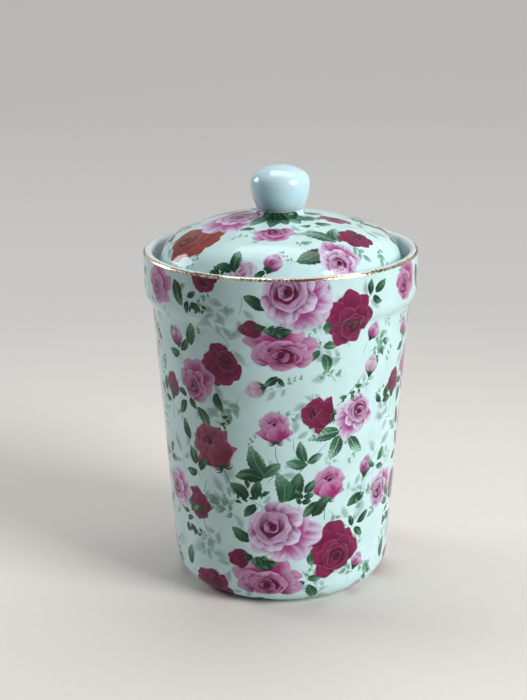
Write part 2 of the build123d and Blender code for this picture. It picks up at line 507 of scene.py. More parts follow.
ROSES = tuple(row[0] for row in ROSE_COLOURS)
CRISP_ROSES = ("crimson", "scarlet")
CRISP_EDGE = 0.14
SOFT_EDGE = 0.32
GREENS = ("ghost", "stem", "leaf", "dark_leaf", "pale_leaf", "veined_leaf", "sepal")
STYLES = GREENS + ("eye",) + tuple(f"{rose}_{role}" for rose in ROSES for role in ROLES)


def mixed(first, second, share):
    """A colour part of the way from one to another."""
    return tuple(a + (b - a) * share for a, b in zip(first, second))


class Look(NamedTuple):
    """How one style of stroke is painted."""

    root: tuple  # colour where the stroke starts
    tip: tuple  # colour where it ends
    rise: float  # how gradually the outline widens
    fall: float  # how gradually it narrows
    soft: float  # width of the soft edge
    streak: float  # how far the brush's grain mixes the colours
    opacity: float = 1
    rim: float = 0  # pale edge
    vein: float = 0
    saw: float = 0  # toothed edge
    halo: float = 0  # shade on what lies under the stroke

    @property
    def peak(self):
        """The outline's curve where it is widest."""
        top = self.rise / (self.rise + self.fall)
        return top**self.rise * (1 - top) ** self.fall


def stroke_looks(c):
    """The look of each stroke style, in the print's colours."""
    fresh = dict(rise=0.65, fall=0.8, soft=0.12, streak=0.9)
    looks = {
        "ghost": Look(c.shadow_leaf, mixed(c.shadow_leaf, c.ground, 0.5),
                      rise=0.8, fall=0.9, soft=0.8, streak=0.6, opacity=0.8, vein=0.1),
        "stem": Look(c.leaf_middle, c.leaf_deep, rise=0.1, fall=0.3, soft=0.6, streak=0.3, opacity=0.85),
        "leaf": Look(mixed(c.leaf_deep, c.leaf_middle, 0.6), c.leaf_light, **fresh, vein=0.5, saw=0.15),
        "dark_leaf": Look(c.leaf_deep, mixed(c.leaf_middle, c.leaf_light, 0.3),
                          **fresh, vein=0.45, saw=0.15),
        "pale_leaf": Look(mixed(c.leaf_middle, c.leaf_light, 0.4), mixed(c.leaf_light, c.ground, 0.5),
                          rise=0.7, fall=0.95, soft=0.35, streak=1, opacity=0.85, vein=0.3, saw=0.1),
        "veined_leaf": Look(mixed(c.leaf_deep, c.leaf_middle, 0.7), mixed(c.leaf_light, c.ground, 0.35),
                            **fresh, vein=0.9, saw=0.12),
        "sepal": Look(c.leaf_deep, c.leaf_middle, rise=0.35, fall=1.1, soft=0.35, streak=0.3, vein=0.2),
        "eye": Look(c.crimson_deep, c.magenta_deep, rise=0.5, fall=0.5, soft=0.2, streak=1),
    }
    for rose in ROSES:
        light, middle, deep = (getattr(c, f"{rose}_{tone}") for tone in TONES)
        edge = CRISP_EDGE if rose in CRISP_ROSES else SOFT_EDGE
        looks[rose + "_outer"] = Look(middle, light, rise=0.5, fall=0.36, soft=edge, streak=0.5, rim=0.15)
        looks[rose + "_middle"] = Look(mixed(deep, middle, 0.6), light,
                                       rise=0.5, fall=0.36, soft=0.16, streak=0.5, rim=0.25, halo=0.25)
        looks[rose + "_cup"] = Look(deep, mixed(middle, light, 0.4),
                                    rise=0.5, fall=0.45, soft=0.12, streak=0.4, rim=0.3, halo=0.4)
        looks[rose + "_front"] = Look(mixed(deep, middle, 0.8), mixed(middle, light, 0.65),
                                      rise=0.5, fall=0.42, soft=0.12, streak=0.5, rim=0.35, halo=0.3)
    return looks


def style_ramp(tree, rank, values):
    """A table of four numbers for each stroke style, as a stepped colour ramp."""
    node = add(tree, "ShaderNodeValToRGB", {0: rank})
    ramp = node.color_ramp
    ramp.interpolation = "CONSTANT"
    while len(ramp.elements) < len(values):
        ramp.elements.new(1.0)
    for i, value in enumerate(values):
        ramp.elements[i].position = i / len(values)
        ramp.elements[i].color = value
    return node


def stroke_group(colours):
    """Node group that lays one brush stroke over the colour under it."""
    looks = stroke_looks(colours)
    rows = [looks[style] for style in STYLES]
    tree = bpy.data.node_groups.new("Brush stroke", "ShaderNodeTree")
    tree.interface.new_socket("Place", in_out="INPUT", socket_type="NodeSocketVector")
    tree.interface.new_socket("Under", in_out="INPUT", socket_type="NodeSocketColor")
    tree.interface.new_socket("Colour", in_out="OUTPUT", socket_type="NodeSocketColor")
    given = tree.nodes.new("NodeGroupInput")
    spot, under = (Wire(tree, given.outputs[name]) for name in ("Place", "Under"))
    brush = add(tree, "ShaderNodeMapping", {"Vector": spot, "Scale": BRUSH_GRAIN})
    place = add(tree, "ShaderNodeSeparateXYZ", {0: spot})
    across, up, style = (out(place, i) for i in range(3))
    rank = style / len(STYLES)
    chance = style.math("FRACT")

    root = style_ramp(tree, rank, [(*row.root, row.halo) for row in rows])
    tip = style_ramp(tree, rank, [(*row.tip, 1 / row.peak / PEAK_SCALE) for row in rows])
    shape = style_ramp(tree, rank, [(row.rise, row.fall, row.soft, row.opacity) for row in rows])
    touch = style_ramp(tree, rank, [(row.streak, row.rim, row.vein, row.saw) for row in rows])
    shape_parts = add(tree, "ShaderNodeSeparateColor", {0: out(shape)})
    rise, fall, soft = (out(shape_parts, i) for i in range(3))
    touch_parts = add(tree, "ShaderNodeSeparateColor", {0: out(touch)})
    streak, rim, vein = (out(touch_parts, i) for i in range(3))
    saw = out(touch, 1)
    full = out(tip, 1) * PEAK_SCALE

    def inside(side, height):
        held = height.math("MAXIMUM", 0.0).math("MINIMUM", 1.0)
        return held**rise * (1 - held) ** fall * full - side

    side = abs(across)
    tooth = (up * TEETH).math("FRACT") - 0.5
    grain = out(add(tree, "ShaderNodeTexNoise", {"Vector": out(brush), "Scale": 1.0, "Detail": 2.0}))
    edge = inside(side * (tooth * saw + 1), up) + (grain - 0.5) * soft
    cover = smooth(edge / soft, 0, 1) * out(shape, 1)
    shade = smooth(inside(side / HALO, (up - 0.5) / HALO + 0.5), 0, HALO_BAND) * out(root, 1)

    bloom = smooth(up + (grain - 0.5) * streak * STREAK_REACH, *BLOOM)
    paint = blend(bloom, out(root), out(tip))
    lit = (1 - smooth(edge, 0, soft + RIM_BAND)) * smooth(up, *RIM_UP) * rim
    paint = blend(lit, paint, shift(out(tip), PETAL_GLOW, RIM_GLOW))
    midrib = 1 - smooth(side, *MIDRIB_BAND)
    ribs = 1 - smooth(abs(((up - side * RIB_SLANT) * RIBS).math("FRACT") - 0.5), *RIB_BAND)
    paint = blend(ribs * vein, paint, shift(out(root), FOLD_SHADE, RIB_SHADE))
    paint = blend(midrib * vein * MIDRIB_SHARE, paint, shift(out(tip), PETAL_GLOW, MIDRIB_GLOW))
    paint = tint(paint, (chance - 0.5) * TONE_SPREAD - across * (vein * VEIN_SHADE + SIDE_SHADE) + 1.0)
    shaded = blend(shade, under, shift(out(root), FOLD_SHADE, HALO_SHADE))
    result = tree.nodes.new("NodeGroupOutput")
    feed(tree, result.inputs[0], blend(cover, shaded, paint))
    return tree


class Stroke:
    """One brush stroke on the print's sheet: a root, a direction, a length and a half width, in metres."""

    def __init__(self, style, root, turn, reach, half, bend=0.0, curl=0.0, chance=0.5):
        self.style = STYLES.index(style) + STYLE_PLACE[0] + STYLE_PLACE[1] * chance
        self.look = style
        self.root = root
        self.turn = turn
        self.reach = reach
        self.half = half
        self.bend = bend
        self.curl = curl
        self.chance = chance

    def place(self, du, dv):
        """How far across the stroke, -1 to 1, and up it, 0 to 1, the given offsets from its motif lie."""
        x = du - self.root[0]
        y = dv - self.root[1]
        up = (x * math.cos(self.turn) + y * math.sin(self.turn)) / self.reach
        across = (y * math.cos(self.turn) - x * math.sin(self.turn)) / self.half
        wave = WAVES[0] + WAVES[1] * self.chance
        start = WAVE_START * self.chance
        bent = across - self.bend * self.reach / self.half * up * (1 - up) * 4
        across = bent + WOBBLE_ACROSS * np.sin(wave * up + start)
        up = up + self.curl * bent**2 + WOBBLE_UP * np.sin(wave * bent + start * 2)
        return across, up

    def flatten(self, turn, share):
        """Foreshorten the stroke along a direction."""
        along, aside = math.cos(self.turn - turn), math.sin(self.turn - turn)
        ahead = (self.root[0] * math.cos(turn) + self.root[1] * math.sin(turn)) * (share - 1)
        self.root = heading(turn, ahead, self.root)
        self.turn = turn + math.atan2(aside, share * along)
        self.reach *= math.hypot(share * along, aside)
        self.half *= math.hypot(share * aside, along)


def stroke_edge(look, place, spread):
    """How far inside a stroke's outline places lie, as a share of its half width."""
    up = np.clip((place[..., 1] - 0.5) / spread + 0.5, 0, 1)
    return up**look.rise * (1 - up) ** look.fall / look.peak - np.abs(place[..., 0]) / spread


class Motif(NamedTuple):
    """A group of strokes at one spot of the sheet."""

    angle: float
    up: float
    strokes: list


def heading(turn, distance, start=(0.0, 0.0)):
    """The point at a distance from another, in a given direction."""
    return (start[0] + math.cos(turn) * distance, start[1] + math.sin(turn) * distance)


def ring(rng, style, petals, start, reach, half, first, curl):
    """A ring of petals that overlap one after the other."""
    strokes = []
    for i in range(petals):
        turn = first + math.tau * (i + rng.uniform(-0.16, 0.16)) / petals
        far = reach * rng.uniform(0.84, 1.12)
        strokes.append(Stroke(style, heading(turn, start), turn, far - start,
                              half=half * rng.uniform(0.82, 1.18), bend=rng.uniform(-0.08, 0.08),
                              curl=curl, chance=rng.random()))
    return strokes


def disc(style, centre, turn, radius, rng):
    """A round petal about a centre, palest towards where it points."""
    return Stroke(style, heading(turn, -radius, centre), turn, 2 * radius,
                  half=radius * rng.uniform(0.92, 1.06), chance=rng.random())


def stem(start, turn, reach, half, bend, rng, style="stem"):
    """A thin stem."""
    return Stroke(style, start, turn, reach, half, bend, chance=rng.random())


def sepals(root, turn, leans, reach, half, bend, rng):
    """Narrow green sepals that spread from a flower's root."""
    return [Stroke("sepal", root, turn + lean, reach, half, lean * bend, chance=rng.random())
            for lean in leans]


def leaf(name, root, turn, reach, slim, bend, rng):
    """One leaf. Slim is the range of its half width as a share of its length, and bend the most it bends."""
    half = reach * rng.uniform(*slim)
    return Stroke(name, root, turn, reach, half, rng.uniform(-bend, bend), chance=rng.random())


# The layers of a rose's cup: a role, a radius and how far its petals slip aside, as shares of the cup.
HEART_LAYERS = (("front", 1.0, 0.13), ("cup", 0.78, 0.12), ("eye", 0.55, 0.06), ("cup", 0.38, 0.1),
                ("eye", 0.2, 0.04))
LAYER_TURN = 0.9
PETAL_TURN = 2.1
TIPPED_SHARE = 0.52  # how flat a rose looks that faces aside
BUD_SHARE = 0.72  # how narrow a bud is
TWIG_LEAVES = 6


def rose_heart(name, centre, size, turn, share, rng):
    """The cup of a rose: round petals that wrap about each other, foreshortened by a share."""
    eye = "pale_cup" if name == "pale" else "eye"
    strokes = []
    for layer, (role, reach, slip) in enumerate(HEART_LAYERS):
        for i in range(1 if role == "eye" else 3):
            side = turn + layer * LAYER_TURN + i * PETAL_TURN + rng.uniform(-0.35, 0.35)
            radius = reach * size * rng.uniform(0.9, 1.06)
            style = eye if role == "eye" else f"{name}_{role}"
            strokes.append(disc(style, heading(side, slip * size), side, radius, rng))
    for stroke in strokes:
        stroke.flatten(turn, share)
        stroke.root = (stroke.root[0] + centre[0], stroke.root[1] + centre[1])
    return strokes


def open_rose(size, turn, name, rng):
    """A full rose seen from the front, with its cup to one side and broad petals on the other."""
    cup = heading(turn, 0.38 * size)
    strokes = [disc(name + "_middle", (0.0, 0.0), turn, radius=0.78 * size, rng=rng)]
    strokes += ring(rng, name + "_outer", petals=7, start=0.15 * size, reach=size, half=0.46 * size,
                    first=turn, curl=0.2)
    for side in (-1.75, 1.7, -0.95, 0.9, 0.05):
        lean = turn + math.pi + side
        reach = 0.55 * size * rng.uniform(0.85, 1.15)
        strokes.append(Stroke(name + "_middle", heading(lean, 0.25 * size, cup), lean, reach,
                              half=0.34 * size, bend=side * 0.08, curl=0.2, chance=rng.random()))
    return strokes + rose_heart(name, cup, size=0.47 * size, turn=turn, share=0.92, rng=rng)


def tipped_rose(size, turn, name, rng):
    """A full rose that faces away to one side, so that it looks flatter."""
    strokes = open_rose(size, turn, name, rng)
    for stroke in strokes:
        stroke.flatten(turn, TIPPED_SHARE)
    return strokes


def side_rose(size, turn, name, rng):
    """A half-open rose seen from the side, on its sepals and stem."""
    root = heading(turn, -0.85 * size)
    low = heading(turn, -2.0 * size)
    strokes = [stem(low, turn, reach=1.2 * size, half=0.035 * size, bend=0.06, rng=rng)]
    strokes += sepals(root, turn, leans=(-1.45, 1.4, -1.15, 1.1), reach=0.55 * size, half=0.045 * size,
                      bend=0.2, rng=rng)
    for lean, share in ((-1.05, 1.15), (1.0, 1.2), (-0.6, 1.5), (0.55, 1.45)):
        reach = share * size * rng.uniform(0.9, 1.08)
        strokes.append(Stroke(name + "_outer", root, turn + lean, reach, half=0.36 * size,
                              bend=-lean * 0.2, curl=0.1, chance=rng.random()))
    for side, away in ((0.7, 0.42), (-0.75, 0.42), (0.0, 0.5)):
        lean = turn + side
        strokes.append(disc(name + "_middle", heading(lean, away * size), lean, radius=0.5 * size, rng=rng))
    cup = heading(turn, 0.28 * size)
    strokes += rose_heart(name, cup, size=0.46 * size, turn=turn, share=0.7, rng=rng)
    for side in (2.1, -2.1, math.pi):
        middle = heading(turn + side, 0.38 * size)
        strokes.append(disc(name + "_front", middle, turn + side * 0.25, radius=0.48 * size, rng=rng))
    return strokes + sepals(root, turn, leans=(-0.9, 0.85, -0.3, 0.3), reach=0.3 * size, half=0.08 * size,
                            bend=0.15, rng=rng)


def rose_bud(size, turn, name, rng):
    """A closed bud held by its sepals."""
    root = heading(turn, -0.95 * size)
    low = heading(turn, -2.3 * size)
    strokes = [
        stem(low, turn, reach=1.5 * size, half=0.045 * size, bend=0.06, rng=rng),
        disc(name + "_middle", (0.0, 0.0), turn, radius=0.85 * size, rng=rng),
        disc(name + "_cup", heading(turn, 0.25 * size), turn + 0.4, radius=0.56 * size, rng=rng),
    ]
    for side in (1.9, -2.0):
        middle = heading(turn + side, 0.32 * size)
        strokes.append(disc(name + "_front", middle, turn + side * 0.3, radius=0.62 * size, rng=rng))
    for stroke in strokes:
        stroke.flatten(turn + math.pi / 2, BUD_SHARE)
    return strokes + sepals(root, turn, leans=(-0.8, 0.85, 0.1), reach=0.85 * size, half=0.15 * size,
                            bend=-0.2, rng=rng)


def leaf_spray(size, turn, name, rng):
    """Leaves in pairs along a stem, larger towards the one at its end."""
    style = "ghost" if name == "ghost" else "stem"
    strokes = [stem((0.0, 0.0), turn, reach=1.5 * size, half=0.025 * size, bend=0.06, rng=rng, style=style)]
    for along, lean, share in ((0.5, 1.0, 0.7), (0.62, -0.95, 0.75), (1.0, 0.85, 0.95), (1.1, -0.9, 0.9),
                               (1.42, 0.05, 1.15)):
        reach = share * size * rng.uniform(0.85, 1.1)
        side = turn + lean + rng.uniform(-0.25, 0.25)
        root = heading(turn, along * size)
        strokes.append(leaf(name, root, side, reach, slim=(0.26, 0.33), bend=0.12, rng=rng))
    return strokes


def trefoil(size, turn, name, rng):
    """Three broad leaves at the end of a short stem."""
    low = heading(turn, -0.6 * size)
    strokes = [stem(low, turn, reach=0.9 * size, half=0.02 * size, bend=0.05, rng=rng)]
    for along, lean, share in ((-0.05, 1.2, 0.85), (0.05, -1.15, 0.9), (0.28, 0.05, 1.1)):
        reach = share * size * rng.uniform(0.9, 1.1)
        side = turn + lean + rng.uniform(-0.2, 0.2)
        root = heading(side, 0.12 * size, heading(turn, along * size))
        strokes.append(leaf(name, root, side, reach, slim=(0.24, 0.3), bend=0.1, rng=rng))
    return strokes


def twig(size, turn, name, rng):
    """A thin bent stem with small leaves on both sides."""
    strokes = [stem((0.0, 0.0), turn, reach=2 * size, half=0.02 * size, bend=0.12, rng=rng)]
    for i in range(TWIG_LEAVES):
        root = heading(turn + 0.24 * (1 - i / 3), (0.5 + 0.28 * i) * size)
        lean = (0.9 if i % 2 else -0.9) * rng.uniform(0.7, 1.2)
        reach = size * rng.uniform(0.35, 0.6)
        strokes.append(Stroke(name, root, turn + lean, reach, half=reach * 0.27, bend=0.1,
                              chance=rng.random()))
    return strokes


def single_leaf(size, turn, name, rng):
    """One broad leaf."""
    return [leaf(name, (0.0, 0.0), turn, size, slim=(0.23, 0.28), bend=0.1, rng=rng)]


def thin_stem(size, turn, name, rng):
    """A long bare stem."""
    bend = rng.uniform(-0.05, 0.05)
    return [stem((0.0, 0.0), turn, size, half=0.22 * MM, bend=bend, rng=rng, style=name)]


PAINTERS = {
    "open": open_rose,
    "tipped": tipped_rose,
    "side": side_rose,
    "bud": rose_bud,
    "spray": leaf_spray,
    "trefoil": trefoil,
    "twig": twig,
    "leaf": single_leaf,
    "line": thin_stem,
}

# One panel of the transfer sheet. Each row is a kind, its colours and one or more places: an angle from the
# front in degrees, a height above the table in mm, a size in mm (radius of a flower, length of a leaf) and
# the way it points in degrees.
PANEL = (
    ("spray", "ghost", (22, 84, 6, 200), (-17, 84, 8, 215), (5, 88, 6, 190), (30, 97, 6, 170),
     (-18, 102, 6, 200), (-18, 121, 9, 220), (-35, 114, 7, 330), (-30, 36, 9, 80), (30, 44, 6, 20),
     (52, 66, 7, 80)),
    ("leaf", "dark_leaf", (-2, 101, 9, 205)),
    ("trefoil", "leaf", (17, 102, 7, 290)),
    ("leaf", "dark_leaf", (-6, 117, 9, 150)),
    ("trefoil", "dark_leaf", (38, 119, 6, 30)),
    ("spray", "pale_leaf", (42, 104, 5, 330)),
    ("tipped", "magenta", (0.5, 102.5, 15, 268)),
    ("leaf", "dark_leaf", (4, 108, 10, 170)),
    ("open", "crimson", (28, 112, 10.8, 300)),
    ("open", "pink", (7.5, 120.5, 14, 150)),
    ("leaf", "leaf", (18.5, 112, 6, 275)),
    ("bud", "crimson", (-12, 109.5, 5.5, 195)),
    ("spray", "dark_leaf", (-7, 110, 4, 345)),
    ("bud", "pink", (43, 105, 4, 60)),
    ("twig", "leaf", (52, 104, 6, 250)),
    ("trefoil", "dark_leaf", (-49, 96, 7, 120)),
    ("leaf", "leaf", (-42, 100, 9, 80)),
    ("trefoil", "dark_leaf", (-46, 80, 6, 235)),
    ("leaf", "dark_leaf", (-30, 84, 8, 290)),
    ("leaf", "leaf", (-40, 77, 9, 300)),
    ("twig", "dark_leaf", (-24, 78, 5, 250)),
    ("open", "crimson", (-27, 94, 8.5, 40)),
    ("open", "magenta", (-40, 87, 8.5, 230)),
    ("bud", "pink", (-51, 102, 4.5, 100)),
    ("bud", "pale", (-11, 87, 4.5, 200)),
    ("line", "stem", (-8, 88, 8, 25)),
    ("leaf", "dark_leaf", (-1.5, 92, 6, 215), (-1, 91.5, 4, 300)),
    ("twig", "pale_leaf", (14, 90, 5, 15)),
    ("bud", "pale", (43, 92, 4.5, 80)),
    ("leaf", "dark_leaf", (-47, 63, 8, 110)),
    ("side", "rose", (-33, 62, 9.5, 120)),
    ("twig", "dark_leaf", (-21, 52, 6, 335)),
    ("trefoil", "dark_leaf", (-43, 51, 7, 110)),
    ("side", "magenta", (-3, 72, 6.6, 95)),
    ("line", "stem", (0, 48, 26, 47), (25, 79, 17, 45)),
    ("leaf", "leaf", (-8, 54, 12, 117)),
    ("leaf", "dark_leaf", (-8, 53, 11, 180)),
    ("leaf", "leaf", (-8, 53, 8.5, 42), (11, 59, 8.5, 104), (12, 58, 8, 172)),
    ("leaf", "veined_leaf", (12, 58.5, 6.5, 27)),
    ("leaf", "dark_leaf", (3, 44, 12, 68)),
    ("leaf", "leaf", (1, 43, 12.5, 100)),
    ("leaf", "veined_leaf", (27, 69.5, 12, 191), (28, 68, 10, 243), (32, 66.5, 9.5, 312)),
    ("side", "crimson", (17, 77, 6.8, 165)),
    ("open", "pink", (34, 74, 8.6, 35)),
    ("trefoil", "dark_leaf", (52, 76, 6, 60)),
    ("twig", "leaf", (40, 88, 6, 220)),
    ("side", "magenta", (22.8, 49, 7.2, 85)),
    ("leaf", "dark_leaf", (17, 43, 8, 230)),
    ("bud", "crimson", (-45, 39, 6.5, 110)),
    ("trefoil", "leaf", (-52, 33, 6, 100)),
    ("bud", "pink", (44, 53, 4.8, 80)),
    ("trefoil", "leaf", (51, 51, 6, 60)),
    ("leaf", "dark_leaf", (44, 42, 9, 200)),
    ("open", "pink", (59, 41, 8.5, 200)),
    ("bud", "crimson", (62, 82, 6, 85)),
    ("twig", "pale_leaf", (38, 34, 6, 60)),
    ("spray", "pale_leaf", (-21, 36, 6, 150)),
    ("twig", "dark_leaf", (-25, 41, 5, 30)),
    ("trefoil", "dark_leaf", (-12, 43, 8, 150)),
    ("spray", "dark_leaf", (8, 40, 5, 70)),
    ("leaf", "dark_leaf", (15, 37, 10, 50), (-47, 124, 10, 290)),
    ("trefoil", "dark_leaf", (-40, 118, 5, 320)),
    ("open", "magenta", (-58, 121, 8, 220)),
    ("side", "crimson", (-31, 127, 6, 250)),
    ("twig", "dark_leaf", (-28, 117, 5, 200)),
)
PANELS_ROUND = 3
FAINT_SPRIGS = 210
SHEET_REPEAT = 90.5 * MM
SHEET_LEAN = math.radians(-7.5)

# The lid's print, with distances from the middle of the dome in place of heights.
LID_PRINT = (
    ("spray", "pale_leaf", (-100, 30, 6, 200), (8, 34, 3, 20)),
    ("twig", "pale_leaf", (-36, 34, 4, 20)),
    ("spray", "pale_leaf", (60, 42, 4, 300)),
    ("leaf", "veined_leaf", (41, 20, 7, 15), (34, 21, 5, 200), (38, 35, 11, 95), (36, 35, 14, 165)),
    ("leaf", "dark_leaf", (26, 39, 14, 215)),
    ("open", "pink", (31, 42.5, 8.8, 275)),
    ("open", "crimson", (52.5, 35.5, 6.8, 60)),
    ("spray", "dark_leaf", (-25, 47.5, 3.5, 165)),
    ("open", "pale", (-18, 50.2, 7.5, 80)),
    ("leaf", "dark_leaf", (-21.5, 48, 9.5, 76), (-22.5, 47.5, 7.5, 140), (-8, 46.5, 6, 25),
     (-7, 47, 5, 200)),
    ("bud", "pink", (-3.5, 43.5, 5, 60)),
    ("leaf", "leaf", (-25, 23, 6, 175)),
    ("open", "scarlet", (-60, 36, 11.8, 160)),
    ("open", "pink", (-66, 20, 13, 60)),
    ("leaf", "veined_leaf", (75, 10, 8, 20), (55, 12, 7, 335)),
    ("leaf", "leaf", (-35, 8, 13, 235)),
    ("leaf", "dark_leaf", (0, 8, 14, 345), (-15, 8, 13, 262)),
    ("leaf", "leaf", (0, 8, 12, 310)),
    ("leaf", "dark_leaf", (-5, 8, 11, 285)),
    ("tipped", "magenta", (-4, 26.5, 9, 100)),
    ("tipped", "rose", (74, 22, 7, 90)),
    ("leaf", "dark_leaf", (-110, 12, 10, 180)),
    ("open", "pink", (150, 30, 11, 90)),
    ("open", "crimson", (178, 36, 9, 200)),
    ("side", "rose", (120, 36, 9, 20)),
    ("spray", "leaf", (100, 25, 6, 350)),
    ("open", "rose", (-130, 28, 9, 120)),
    ("bud", "pink", (-155, 40, 5, 240)),
    ("spray", "dark_leaf", (-165, 22, 6, 250)),
    ("bud", "crimson", (95, 42, 5, 330)),
    ("leaf", "dark_leaf", (126, 47, 10, 60)),
    ("leaf", "veined_leaf", (150, 45, 11, 130)),
    ("open", "magenta", (141, 46.5, 8, 320)),
    ("trefoil", "dark_leaf", (166, 48, 6.5, 40)),
    ("leaf", "veined_leaf", (106, 46, 9, 30)),
    ("leaf", "dark_leaf", (-148, 45, 11, 130)),
    ("leaf", "leaf", (-122, 46, 10, 240)),
    ("open", "pink", (-135, 45, 9, 240)),
    ("leaf", "dark_leaf", (-108, 40, 10, 170)),
    ("open", "crimson", (-104, 44.5, 6.8, 200)),
    ("spray", "dark_leaf", (-92, 43, 4, 265)),
    ("bud", "pink", (178, 49, 4.8, 120)),
    ("trefoil", "leaf", (-165, 46, 6.5, 100)),
    ("leaf", "leaf", (82, 44, 8, 60)),
)
DOME_SPRIGS = 28
DOME_REACH = 50 * MM
GOLDEN_TURN = 0.381966  # of a full turn, from one faint sprig to the next


class Sheet:
    """The part of a piece that carries the print, as offsets in metres from any spot on it."""

    def __init__(self, mesh, first, last):
        self.mesh = mesh
        corners = len(mesh.loops)
        chart = np.empty(corners * 3, np.float32)
        mesh.attributes["sheet"].data.foreach_get("vector", chart)
        chart = chart.reshape(-1, 3)
        starts = np.empty(len(mesh.polygons), np.int32)
        totals = np.empty(len(mesh.polygons), np.int32)
        mesh.polygons.foreach_get("loop_start", starts)
        mesh.polygons.foreach_get("loop_total", totals)
        quads = starts[totals == 4][:, None] + np.arange(4)
        along = chart[:, 2][quads]
        kept = (along.min(1) >= first) & (along.max(1) <= last)
        self.corners = quads[kept]
        self.angle = (chart[:, 0][self.corners].astype(float) - 0.5) * math.tau
        self.along = along[kept].astype(float)

    def keep(self, places):
        """Write each face's strokes to the mesh, one attribute for each slot."""
        for slot, place in enumerate(places):
            full = np.tile(np.array(NO_STROKE, np.float32), (len(self.mesh.loops), 1))
            full[self.corners.ravel()] = place.reshape(-1, 3)
            layer = self.mesh.attributes.new(f"stroke_{slot}", "FLOAT_VECTOR", "CORNER")
            layer.data.foreach_set("vector", full.ravel())


class WallSheet(Sheet):
    """The jar's wall, unrolled about each spot."""

    def __init__(self, mesh, points, first, last):
        super().__init__(mesh, first, last)
        stations = station_list(points)
        outside = (stations >= first) & (stations <= last)
        self.stations = stations[outside]
        self.radii = np.array([p.x for p in points])[outside]
        self.heights = np.array([p.y for p in points])[outside]
        self.middle_angle = self.angle.mean(1)
        self.middle_along = self.along.mean(1)

    def station(self, height):
        """Distance along the profile at a height above the table."""
        return float(np.interp(height, self.heights, self.stations))

    def radius(self, along):
        return float(np.interp(along, self.stations, self.radii))

    def near(self, motif, reach):
        """Faces within reach of a motif, and their corners' offsets from it."""
        radius = self.radius(motif.up)
        swing = np.mod(self.middle_angle - motif.angle + math.pi, math.tau) - math.pi
        close = (np.abs(swing) * radius < reach) & (np.abs(self.middle_along - motif.up) < reach)
        faces = np.flatnonzero(close)
        swing = np.mod(self.angle[faces] - motif.angle + math.pi, math.tau) - math.pi
        return faces, swing * radius, self.along[faces] - motif.up


class DomeSheet(Sheet):
    """The lid's dome, laid flat about its middle."""

    def __init__(self, mesh, first, last, pole):
        super().__init__(mesh, first, last)
        away = self.along - pole
        self.u = np.sin(self.angle) * away
        self.v = -np.cos(self.angle) * away

    def near(self, motif, reach):
        """Faces within reach of a motif, and their corners' offsets from it."""
        du = self.u - math.sin(motif.angle) * motif.up
        dv = self.v + math.cos(motif.angle) * motif.up
        faces = np.flatnonzero((np.abs(du[:, 0]) < reach) & (np.abs(dv[:, 0]) < reach))
        return faces, du[faces], dv[faces]


def nine_points(corners):
    """A quad's corner values, with those of its sides' middles and its own middle."""
    sides = (corners + np.roll(corners, -1, 1)) / 2
    return np.concatenate((corners, sides, corners.mean(1, keepdims=True)), 1)


def lay_print(sheet, motifs, looks):
    """Give each face of the sheet the few strokes that cross it, the top one in the first slot."""
    faces = len(sheet.corners)
    places = [np.tile(np.array(NO_STROKE, np.float32), (faces, 4, 1)) for _ in range(SLOTS)]
    used = np.zeros(faces, int)
    covered = np.zeros((faces, 9), bool)
    spare = np.full(faces, UNDERLAYS)
    for motif in reversed(motifs):
        reach = max(math.hypot(*s.root) + MOTIF_MARGIN * max(s.reach, s.half) for s in motif.strokes)
        near, du, dv = sheet.near(motif, reach)
        for stroke in reversed(motif.strokes):
            free = spare[near] > 0
            here = near[free]
            place = np.stack(stroke.place(du[free], dv[free]), 2)
            probes = nine_points(place)
            look = looks[stroke.look]
            ragged = RAGGED * look.soft
            spread = HALO if look.halo else 1.0
            touched = (stroke_edge(look, probes, spread) > -ragged - SLACK / stroke.half).any(1)
            solid = stroke_edge(look, probes, 1.0) > look.soft + ragged + look.saw
            solid &= (look.opacity == 1) & touched[:, None]
            hides = solid.all(1)
            slot_of = np.where(hides, np.minimum(used[here], SLOTS - 1), used[here])
            for slot in range(SLOTS):
                laid = touched & (slot_of == slot)
                places[slot][here[laid], :, :2] = place[laid]
                places[slot][here[laid], :, 2] = stroke.style
            used[here[touched]] = np.minimum(used[here[touched]] + 1, SLOTS)
            spare[here[touched & covered[here].all(1)]] -= 1
            spare[here[hides]] = 0
            covered[here] |= solid
    sheet.keep(places)


def faint_sprig(i, rng):
    """One of the sprigs that fill the ground, most of them faint."""
    turn = rng.uniform(0, math.tau)
    if i % 3 == 0:
        return twig(rng.uniform(3.5, 6) * MM, turn, "pale_leaf", rng)
    if i % 3 == 1:
        return leaf_spray(rng.uniform(3, 5) * MM, turn, "ghost" if i % 2 else "pale_leaf", rng)
    return trefoil(rng.uniform(6, 9) * MM, turn, "ghost", rng)


def rows_of(table):
    """The flowers and leaves of a table, one at a time."""
    for kind, name, *spots in table:
        for spot in spots:
            yield kind, name, *spot


def wall_motifs(sheet, rng):
    """The panel, repeated round the jar and once more below itself, over faint sprigs."""
    motifs = []
    for i in range(FAINT_SPRIGS):
        angle = math.tau * (i * GOLDEN_TURN % 1.0)
        up = sheet.station(JAR_HIGH.z * (i + 0.5) / FAINT_SPRIGS)
        motifs.append(Motif(angle, up, faint_sprig(i, rng)))
    for low in (True, False):
        for copy in range(PANELS_ROUND):
            for kind, name, angle, height, size, turn in rows_of(PANEL):
                up = sheet.station(height * MM)
                swing = math.radians(angle)
                if low:
                    swing = swing * sheet.radius(up) / sheet.radius(up - SHEET_REPEAT) + SHEET_LEAN
                    up -= SHEET_REPEAT
                    if up < sheet.stations[0] or abs(swing) > math.pi / PANELS_ROUND:
                        continue
                swing += math.tau * copy / PANELS_ROUND
                motifs.append(Motif(swing, up, PAINTERS[kind](size * MM, math.radians(turn), name, rng)))
    return motifs


